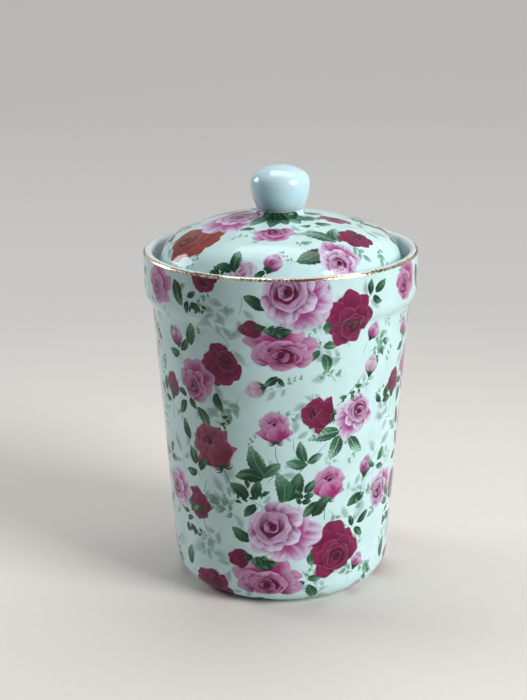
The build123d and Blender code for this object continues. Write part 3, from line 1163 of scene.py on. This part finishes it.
def dome_motifs(rng):
    """The lid's flowers, over faint sprigs."""
    motifs = []
    for i in range(DOME_SPRIGS):
        angle = math.tau * (i * GOLDEN_TURN % 1.0)
        motifs.append(Motif(angle, DOME_REACH * math.sqrt((i + 0.5) / DOME_SPRIGS), faint_sprig(i, rng)))
    for kind, name, angle, away, size, turn in rows_of(LID_PRINT):
        strokes = PAINTERS[kind](size * MM, math.radians(turn), name, rng)
        motifs.append(Motif(math.radians(angle), away * MM, strokes))
    return motifs


# Materials

EDGE = 0.3 * MM  # softness of the print's edges and the gilt's
GLAZE_SPECULAR = 0.25
GLAZE_ROUGHNESS = 0.06
KNOB_ROUGHNESS = 0.05
SEAL_ROUGHNESS = 0.35
ROUGHNESS_SPREAD = 0.05
RIPPLE = 14 * MM
PEEL = 2.2 * MM
BUMP = 0.12
BUMP_DEPTH = 0.6 * MM
WASH = (0.35, 0.7)
WASH_SHARE = 0.35
THIN_SHARE = 0.4
GILT_WEAR = (0.3, 0.42)
# Where stretches of the gilt are painted dark, partly as tarnish and partly as painted reflection
GILT_TARNISH_AND_REFLECTION = (0.48, 0.56)
GILT_ROUGHNESS = 0.12
BARE_WIDTH = 5  # of the foot ring without glaze, in roundings of the foot
BARE_ROUGHNESS = 0.6


def new_material(name):
    """An empty material with its glossy shader."""
    material = bpy.data.materials.new(name)
    material.use_nodes = True
    tree = material.node_tree
    tree.nodes.clear()
    shader = tree.nodes.new("ShaderNodeBsdfPrincipled")
    result = tree.nodes.new("ShaderNodeOutputMaterial")
    tree.links.new(shader.outputs[0], result.inputs[0])
    return material, tree, shader


def object_place(tree):
    """Object coordinates."""
    return out(add(tree, "ShaderNodeTexCoord"), "Object")


def noise(tree, where, size, detail=2.0):
    """Noise whose features are about the given size in metres."""
    return out(add(tree, "ShaderNodeTexNoise", {"Vector": where, "Scale": 1 / size, "Detail": detail}))


def glaze_bump(tree, shader, where):
    """Slow ripple and fine orange peel of a fired glaze."""
    ripple = noise(tree, where, RIPPLE) * 0.7 + noise(tree, where, PEEL) * 0.3
    bump = add(tree, "ShaderNodeBump", {"Height": ripple, "Strength": BUMP, "Distance": BUMP_DEPTH})
    feed(tree, shader.inputs["Normal"], out(bump))


def translucent(shader, weight, depth):
    """Let light pass some way through a material."""
    shader.inputs["Subsurface Weight"].default_value = weight
    shader.inputs["Subsurface Radius"].default_value = (1, 1, 1)
    shader.inputs["Subsurface Scale"].default_value = depth


def printed_glaze(name, colours, group, first, last):
    """Glossy glaze over the rose print between two distances along the profile, and plain elsewhere."""
    material, tree, shader = new_material(name)
    where = object_place(tree)
    chart = add(tree, "ShaderNodeAttribute", attribute_name="sheet")
    along = out(add(tree, "ShaderNodeSeparateXYZ", {0: out(chart, "Vector")}), "Z")
    wash = smooth(noise(tree, where, 9 * MM, detail=3.0), *WASH) * WASH_SHARE
    paint = blend(wash, rgba(colours.ground), rgba(mixed(colours.ground, colours.shadow_leaf, 0.4)))
    for slot in reversed(range(SLOTS)):
        layer = add(tree, "ShaderNodeAttribute", attribute_name=f"stroke_{slot}")
        stroke = add(tree, "ShaderNodeGroup", node_tree=group)
        feed(tree, stroke.inputs["Place"], out(layer, "Vector"))
        feed(tree, stroke.inputs["Under"], paint)
        paint = out(stroke)
    printed = smooth(along, first, first + EDGE) * (1 - smooth(along, last - EDGE, last))
    paint = blend(printed, rgba(colours.white), paint)
    shader.inputs["Specular IOR Level"].default_value = GLAZE_SPECULAR
    glaze_bump(tree, shader, where)
    roughness = noise(tree, where, 6 * MM) * ROUGHNESS_SPREAD
    return material, shader, paint, where, along, roughness


def jar_glaze(colours, sizes, group, first, last):
    """The jar's glaze: print outside, white inside, a worn gilt line on the lip with darkened stretches that
    are partly tarnish and partly painted dark reflection, and a bare foot ring.
    """
    made = printed_glaze("jar_glaze", colours, group, first, last)
    material, shader, paint, where, along, roughness = made
    tree = material.node_tree
    worn = smooth(noise(tree, where, 1.6 * MM, detail=4.0), *GILT_WEAR)
    start = last - sizes.lip_outer_round * math.pi / 2
    end = start + sizes.gilt_width
    frayed = along + (noise(tree, where, 0.5 * MM) - 0.5) * EDGE * 2
    gilt = smooth(frayed, start, start + EDGE) * (1 - smooth(along, end, end + EDGE)) * worn
    foot = first - sizes.foot_round * BARE_WIDTH
    bare = smooth(along, foot, foot + sizes.foot_round) * (1 - smooth(along, first - EDGE, first))
    paint = blend(bare, paint, rgba(colours.biscuit))
    # Stretches of the gilt are painted dark brown: partly tarnish, partly painted reflection of dark
    # surroundings
    tarnish_and_reflection_mask = noise(tree, where, 18 * MM) * 0.6 + noise(tree, where, 0.8 * MM) * 0.4
    gold = blend(smooth(tarnish_and_reflection_mask, *GILT_TARNISH_AND_REFLECTION), rgba(colours.gilt), rgba(colours.tarnish_and_dark_reflection))
    feed(tree, shader.inputs["Base Color"], blend(gilt, paint, gold))
    feed(tree, shader.inputs["Metallic"], gilt)
    rough = roughness + bare * BARE_ROUGHNESS + gilt * GILT_ROUGHNESS + GLAZE_ROUGHNESS
    feed(tree, shader.inputs["Roughness"], rough)
    return material


def lid_glaze(colours, group, first, last):
    """The lid's glaze: print on the dome, white underneath and on the knob's seat."""
    material, shader, paint, _, _, roughness = printed_glaze("lid_glaze", colours, group, first, last)
    feed(material.node_tree, shader.inputs["Base Color"], paint)
    feed(material.node_tree, shader.inputs["Roughness"], roughness + GLAZE_ROUGHNESS)
    return material


def knob_glaze(colours):
    """Plain blue-white glaze on translucent porcelain, paler where it is thin."""
    material, tree, shader = new_material("knob_glaze")
    where = object_place(tree)
    thin = smooth(noise(tree, where, 7 * MM, detail=3.0), *WASH) * THIN_SHARE
    paint = blend(thin, rgba(colours.knob), rgba(mixed(colours.knob, colours.white, 0.6)))
    feed(tree, shader.inputs["Base Color"], paint)
    feed(tree, shader.inputs["Roughness"], noise(tree, where, 5 * MM) * ROUGHNESS_SPREAD + KNOB_ROUGHNESS)
    translucent(shader, 0.7, 8 * MM)
    glaze_bump(tree, shader, where)
    return material


def seal_silicone(colours):
    """Milky silicone with a satin, slightly dusty skin."""
    material, tree, shader = new_material("seal")
    dust = noise(tree, object_place(tree), 3 * MM, detail=4.0)
    paint = blend(dust * 0.5, rgba(colours.seal), rgba(mixed(colours.seal, colours.dust, 0.5)))
    feed(tree, shader.inputs["Base Color"], paint)
    feed(tree, shader.inputs["Roughness"], dust * 0.2 + SEAL_ROUGHNESS)
    translucent(shader, 0.2, 1.5 * MM)
    return material


# Pieces

PRINT_CELL = 0.85 * MM
PLAIN_CELL = 6 * MM
ARC_STEP = 0.8 * MM
FINE_ARC_STEP = 0.3 * MM
HOLLOW_STEP = 3 * MM
HOLLOW_CELL = 4 * MM
KNOB_STEP = 0.5 * MM
EASE_STEPS = 8
SEAT_CLEAR = 2.5  # where the dome starts beside the seat, in roundings of the seat
PRINT_SHARE = 0.85
SEED = 11


def jar_profile(s):
    """The jar's section, from the middle of the foot round the lip to the middle of the floor."""
    collar_edge = s.rim_radius - s.collar_draft
    collar_foot = s.height - s.collar_drop
    lip_inner = s.rim_radius - s.lip_width
    ledge = s.height - s.ledge_depth
    ledge_outer = lip_inner - s.collar_inner_draft
    corners = (
        (0, s.foot_recess, 0),
        (s.foot_radius, s.foot_recess, s.foot_round),
        (s.foot_radius, 0, s.foot_round),
        (s.base_radius, 0, s.base_round),
        (collar_edge - s.step_out, collar_foot - s.step_drop, s.step_round),
        (collar_edge, collar_foot, s.step_round),
        (s.rim_radius, s.height, s.lip_outer_round),
        (lip_inner, s.height, s.lip_inner_round),
        (ledge_outer, ledge, s.ledge_round),
        (s.neck_radius, ledge, s.neck_round),
        (s.neck_radius, ledge - s.neck_length, s.neck_blend),
        (s.floor_radius, s.floor_height, s.floor_round),
        (0, s.floor_height, 0),
    )
    points = rounded_line(corners, ARC_STEP)
    start = next(i for i, p in enumerate(points) if p.x > s.foot_radius + 2 * s.foot_round)
    lip = max(range(len(points)), key=lambda i: points[i].y)
    below = refine(points[:start + 1], PLAIN_CELL)
    outside = refine(points[start:lip + 1], PRINT_CELL)
    inside = refine(points[lip:], PLAIN_CELL)
    return below + outside[1:] + inside[1:], len(below) - 1, len(below) + len(outside) - 2


def lid_profile(s, knob):
    """The lid's section, from the knob's socket over the dome and the skirt to the top of the hollow."""
    dome = crown_points(s.radius, s.equator, s.rise, s.fullness, PRINT_CELL)[::-1]
    dome = [p for p in dome if p.x > knob.neck_radius + SEAT_CLEAR * s.seat_round]
    top = s.equator + s.rise
    crown_radius = dome[0].x ** 2 / (2 * (top - dome[0].y))
    root = top - knob.neck_radius**2 / (2 * crown_radius)
    seat = rounded_line((
        (0, s.seat - s.socket_depth, 0),
        (s.socket_radius, s.seat - s.socket_depth, 0),
        (s.socket_radius, s.seat, 0),
        (knob.neck_radius, s.seat, 0),
        (knob.neck_radius, root, s.seat_round),
        (dome[0].x, dome[0].y, 0),
    ), FINE_ARC_STEP)
    narrow = s.skirt_radius - s.skirt_wall
    edge = rounded_line((
        (s.radius, s.equator, 0),
        (s.radius, s.flange, s.edge_round),
        (s.skirt_radius, s.flange, 0),
        (s.skirt_radius, s.groove_top, 0),
        (s.groove_radius, s.groove_top, 0),
        (s.groove_radius, s.groove_foot, 0),
        (s.skirt_radius, s.groove_foot, 0),
        (s.skirt_radius, s.skirt_foot, s.skirt_round),
        (narrow, s.skirt_foot, s.skirt_round),
        (narrow, s.flange, 0),
    ), FINE_ARC_STEP)
    wide = s.radius - s.side_wall
    ease = []
    for i in range(1, EASE_STEPS + 1):
        share = i / EASE_STEPS
        bow = share * share * (3 - 2 * share)
        ease.append(Vector((narrow + (wide - narrow) * bow, s.flange + (s.equator - s.flange) * share)))
    hollow = crown_points(wide, s.equator, s.rise - s.wall, s.fullness, HOLLOW_STEP)
    outside = refine(seat[3:] + dome[1:] + edge[1:3], PRINT_CELL)
    inside = refine(edge[2:] + ease + hollow[1:], HOLLOW_CELL)
    return seat[:3] + outside + inside[1:], 3, 2 + len(outside)


def knob_profile(s, seat):
    """The knob's section, from its top down the flank to the end of the spigot."""
    widest = s.top - s.crown
    crown = crown_points(s.radius, widest, s.crown, s.fullness, KNOB_STEP)[::-1]
    drop = widest - seat
    inset = s.radius - s.neck_radius
    flank = (inset**2 + drop**2) / (2 * inset)
    low = math.asin(drop / flank)
    points = crown + arc_points((s.radius - flank, widest), flank, 0, -low, KNOB_STEP)[1:]
    spigot = ((s.spigot_radius, seat), (s.spigot_radius, s.spigot_foot), (0, s.spigot_foot))
    return points + [Vector(p) for p in spigot]


def seal_profile(s):
    """The seal's section: a band with tapered ribs, closed on itself."""
    pitch = (s.top - s.foot) / s.ribs
    points = [(s.inner_radius, s.top), (s.inner_radius, s.foot), (s.band_radius, s.foot)]
    for rib in range(s.ribs):
        middle = s.foot + (rib + 0.5) * pitch
        root = pitch * s.root_share / 2
        points += [(s.band_radius, middle - root), (s.tip_radius, middle - s.tip / 2),
                   (s.tip_radius, middle + s.tip / 2), (s.band_radius, middle + root)]
    points += [(s.band_radius, s.top), (s.inner_radius, s.top)]
    return [Vector(p) for p in points]


def print_group(colours):
    """The brush-stroke group, made once."""
    return bpy.data.node_groups.get("Brush stroke") or stroke_group(colours)


def dress(piece, body, node):
    """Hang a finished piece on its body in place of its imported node."""
    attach(piece, body)
    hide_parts(node)


class MakeJar(bpy.types.Operator):
    """Make the printed jar"""

    bl_idname = "rose_jar.make_jar"
    bl_label = "Make Jar"

    def execute(self, context):
        settings = context.scene.rose_jar
        points, first, last = jar_profile(settings.jar)
        stations = station_list(points)
        start, end = stations[first], stations[last]
        glaze = jar_glaze(settings.print, settings.jar, print_group(settings.print), start, end)
        chart = split_chart(points, first, last, PRINT_SHARE)
        piece = spin("printed_jar", points, settings.jar.segments, glaze, chart)
        sheet = WallSheet(piece.data, points, start, end)
        lay_print(sheet, wall_motifs(sheet, random.Random(SEED)), stroke_looks(settings.print))
        dress(piece, "jar", "jar_body")
        return {"FINISHED"}


class MakeLid(bpy.types.Operator):
    """Make the printed lid"""

    bl_idname = "rose_jar.make_lid"
    bl_label = "Make Lid"

    def execute(self, context):
        settings = context.scene.rose_jar
        points, first, last = lid_profile(settings.lid, settings.knob)
        stations = station_list(points)
        start, end = stations[first], stations[last]
        glaze = lid_glaze(settings.print, print_group(settings.print), start, end)
        chart = split_chart(points, first, last, PRINT_SHARE)
        piece = spin("printed_lid", points, settings.lid.segments, glaze, chart)
        sheet = DomeSheet(piece.data, start, end, start - settings.knob.neck_radius)
        lay_print(sheet, dome_motifs(random.Random(SEED + 1)), stroke_looks(settings.print))
        dress(piece, "lid", "lid_shell")
        return {"FINISHED"}


class MakeKnob(bpy.types.Operator):
    """Make the plain knob"""

    bl_idname = "rose_jar.make_knob"
    bl_label = "Make Knob"

    def execute(self, context):
        settings = context.scene.rose_jar
        points = knob_profile(settings.knob, settings.lid.seat)
        glaze = knob_glaze(settings.print)
        piece = spin("knob", points, settings.knob.segments, glaze, even_chart(points))
        dress(piece, "lid", "lid_knob")
        return {"FINISHED"}


class MakeSeal(bpy.types.Operator):
    """Make the ribbed seal"""

    bl_idname = "rose_jar.make_seal"
    bl_label = "Make Seal"

    def execute(self, context):
        settings = context.scene.rose_jar
        points = seal_profile(settings.seal)
        skin = seal_silicone(settings.print)
        piece = spin("seal", points, settings.seal.segments, skin, even_chart(points))
        dress(piece, "lid", "seal_ring")
        return {"FINISHED"}


# Stage

CAMERA_PLACE = (0.0, -0.51127, 0.24310)
CAMERA_PITCH = math.radians(-16.94)
CAMERA_YAW = math.radians(0.74)
CAMERA_ROLL = math.radians(-0.45)
CAMERA_LENS = 72.31
SENSOR_WIDTH = 36
LAMPS = (
    ("key", (0.9, -0.56, 0.6), (0.5, 0.7), 14.5),
    ("fill", (-0.85, 0.35, 0.45), (0.4, 0.4), 4),
    ("top", (0.1, 0.3, 1.1), (0.9, 0.6), 6),
)
WORLD_COLOUR = (0.9, 0.92, 0.95, 1)
WORLD_LIGHT = 0.09
WORLD_SEEN = 0.5
FLOOR_SIDE = 3.0
FLOOR_FRONT = -1.5
FLOOR_BACK = 1.2
FLOOR_TOP = 1.6
FLOOR_BEND = 0.5
FLOOR_TURNS = 13
PAPER = ((0.70, 0.67, 0.63, 1), (0.73, 0.70, 0.66, 1))
PAPER_GRAIN = 4 * MM
PAPER_ROUGHNESS = 0.7
FAR_PAPER = (0.13, 0.125, 0.12, 1)  # takes little light, so that no lamp clips it
FAR_GLOW = (0.73, 0.72, 0.70, 1)
GLOW = 0.58
FADE = (0.12, 0.45)  # distances from the axis over which the near paper gives way to the far


def seen_rays(tree):
    """1 where a surface is looked at or mirrored, 0 where it lights others."""
    path = add(tree, "ShaderNodeLightPath")
    seen = out(path, "Is Camera Ray") + out(path, "Is Glossy Ray") + out(path, "Is Transmission Ray")
    return seen.math("MINIMUM", 1.0)


def stage_floor():
    """A pale sheet that lies under the jar and sweeps up behind it, with an even glow further off."""
    turns = np.linspace(0, math.pi / 2, FLOOR_TURNS)
    line = [(FLOOR_FRONT, 0.0)]
    line += [(FLOOR_BACK + FLOOR_BEND * math.sin(a), FLOOR_BEND * (1 - math.cos(a))) for a in turns]
    line.append((FLOOR_BACK + FLOOR_BEND, FLOOR_TOP))
    verts = [(x, y, z) for y, z in line for x in (-FLOOR_SIDE, FLOOR_SIDE)]
    faces = [(2 * i, 2 * i + 1, 2 * i + 3, 2 * i + 2) for i in range(len(line) - 1)]
    mesh = bpy.data.meshes.new("floor")
    mesh.from_pydata(verts, [], faces)
    mesh.shade_smooth()
    material, tree, shader = new_material("floor_paper")
    where = object_place(tree)
    paper = blend(noise(tree, where, PAPER_GRAIN, detail=3.0), *PAPER)
    distance = out(add(tree, "ShaderNodeVectorMath", {0: where}, operation="LENGTH"), "Value")
    far = smooth(distance, *FADE)
    feed(tree, shader.inputs["Base Color"], blend(far, paper, FAR_PAPER))
    shader.inputs["Roughness"].default_value = PAPER_ROUGHNESS
    shader.inputs["Emission Color"].default_value = FAR_GLOW
    feed(tree, shader.inputs["Emission Strength"], far * seen_rays(tree) * GLOW)
    mesh.materials.append(material)
    floor = bpy.data.objects.new("floor", mesh)
    bpy.context.scene.collection.objects.link(floor)


def softbox(name, place, aim, size, power):
    """A rectangular studio lamp pointed at a spot."""
    lamp = bpy.data.lights.new(name, "AREA")
    lamp.shape = "RECTANGLE"
    lamp.size, lamp.size_y = size
    lamp.energy = power
    holder = bpy.data.objects.new(name, lamp)
    holder.location = place
    holder.rotation_euler = (Vector(aim) - Vector(place)).to_track_quat("-Z", "Y").to_euler()
    bpy.context.scene.collection.objects.link(holder)


def studio_world():
    """Dim light from all round, which looks pale where it is seen or mirrored."""
    world = bpy.data.worlds.new("Studio")
    world.use_nodes = True
    tree = world.node_tree
    background = tree.nodes["Background"]
    background.inputs["Color"].default_value = WORLD_COLOUR
    feed(tree, background.inputs["Strength"], seen_rays(tree) * (WORLD_SEEN - WORLD_LIGHT) + WORLD_LIGHT)
    return world


class MakeStage(bpy.types.Operator):
    """Set up the floor, the lamps and the camera"""

    bl_idname = "rose_jar.make_stage"
    bl_label = "Make Stage"

    def execute(self, context):
        scene = context.scene
        stage_floor()
        middle = (0, 0, JAR_HIGH.z / 2)
        for name, place, size, power in LAMPS:
            softbox(name, place, middle, size, power)
        scene.world = studio_world()
        camera = bpy.data.cameras.new("camera")
        camera.lens = CAMERA_LENS
        camera.sensor_width = SENSOR_WIDTH
        holder = bpy.data.objects.new("camera", camera)
        turn = (Matrix.Rotation(CAMERA_YAW, 4, "Z") @ Matrix.Rotation(math.pi / 2 + CAMERA_PITCH, 4, "X")
                @ Matrix.Rotation(CAMERA_ROLL, 4, "Z"))
        holder.matrix_world = Matrix.Translation(CAMERA_PLACE) @ turn
        scene.collection.objects.link(holder)
        scene.camera = holder
        scene.view_settings.view_transform = "Standard"
        return {"FINISHED"}


class RoseJarPanel(bpy.types.Panel):
    """Sidebar panel with the jar's settings and makers"""

    bl_idname = "VIEW3D_PT_rose_jar"
    bl_label = "Rose Jar"
    bl_space_type = "VIEW_3D"
    bl_region_type = "UI"
    bl_category = "Rose Jar"

    def draw(self, context):
        for maker in MAKERS:
            self.layout.operator(maker.bl_idname)
        for group in ("jar", "lid", "knob", "seal", "print"):
            box = self.layout.box()
            box.label(text=group.title())
            settings = getattr(context.scene.rose_jar, group)
            for name in settings.__annotations__:
                box.prop(settings, name)


GROUPS = (JarSizes, LidSizes, KnobSizes, SealSizes, PrintColours, RoseJarSettings)
MAKERS = (MakeJar, MakeLid, MakeKnob, MakeSeal, MakeStage)


def register():
    for item in GROUPS + MAKERS + (RoseJarPanel,):
        bpy.utils.register_class(item)
    bpy.types.Scene.rose_jar = bpy.props.PointerProperty(type=RoseJarSettings)


def unregister():
    del bpy.types.Scene.rose_jar
    for item in reversed(GROUPS + MAKERS + (RoseJarPanel,)):
        bpy.utils.unregister_class(item)


def main():
    register()
    bpy.ops.rose_jar.make_jar()
    bpy.ops.rose_jar.make_lid()
    bpy.ops.rose_jar.make_knob()
    bpy.ops.rose_jar.make_seal()
    bpy.ops.rose_jar.make_stage()


if __name__ == "__main__":
    main()
